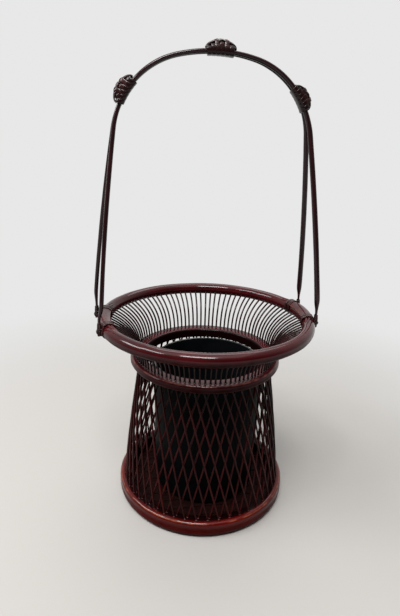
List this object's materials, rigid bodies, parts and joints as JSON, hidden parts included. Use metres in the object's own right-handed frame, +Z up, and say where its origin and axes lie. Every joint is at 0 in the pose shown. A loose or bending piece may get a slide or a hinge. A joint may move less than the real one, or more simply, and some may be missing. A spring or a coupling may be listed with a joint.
{
  "type": "bamboo flower basket",
  "caption": "Open bamboo flower basket with a round foot hoop, slanted lattice body, flared ribbed collar, lift-out liner cup and a tall fixed arch handle of paired canes.",
  "frame": {"origin": "centre of the foot hoop's underside, on the surface it stands on", "axes": "+Z up through the basket's mouth, +X along the handle's span, to the right leg pair"},
  "size_m": [0.2064, 0.1998, 0.4131],
  "materials": {
    "lacquer": "dyed and lacquered dark red-brown, glossy",
    "foot_lacquer": "dyed and lacquered red-brown, glossy",
    "cane": "dyed near-black brown, satin",
    "binding": "dyed cane, satin",
    "board": "dyed, matt",
    "liner": "black, smooth"
  },
  "bodies": {
    "basket": {"foot_hoop": "foot_lacquer", "base_board": "board", "neck_hoop": "lacquer", "rim_hoop": "lacquer", "outer_splints_1": "lacquer", "outer_splints_2": "lacquer", "outer_splints_3": "lacquer", "outer_splints_4": "lacquer", "outer_splints_5": "lacquer", "outer_splints_6": "lacquer", "outer_splints_7": "lacquer", "outer_splints_8": "lacquer", "inner_splints_1": "lacquer", "inner_splints_2": "lacquer", "inner_splints_3": "lacquer", "inner_splints_4": "lacquer", "inner_splints_5": "lacquer", "inner_splints_6": "lacquer", "inner_splints_7": "lacquer", "inner_splints_8": "lacquer", "collar_ribs_1": "lacquer", "collar_ribs_2": "lacquer", "collar_ribs_3": "lacquer", "collar_ribs_4": "lacquer", "collar_ribs_5": "lacquer", "collar_ribs_6": "lacquer", "collar_ribs_7": "lacquer", "collar_ribs_8": "lacquer", "front_cane": "cane", "back_cane": "cane", "crown_knot": "binding", "left_shoulder_knot": "binding", "right_shoulder_knot": "binding", "right_saddle": "lacquer", "left_saddle": "lacquer", "right_back_lashing": "binding", "right_front_lashing": "binding", "left_back_lashing": "binding", "left_front_lashing": "binding"},
    "liner": {"liner_cup": "liner"}
  },
  "joints": [
    {"name": "liner_lift", "type": "slide", "parent": "basket", "child": "liner", "axis": [0, 0, 1], "range_m": [0, 0.185]}
  ]
}
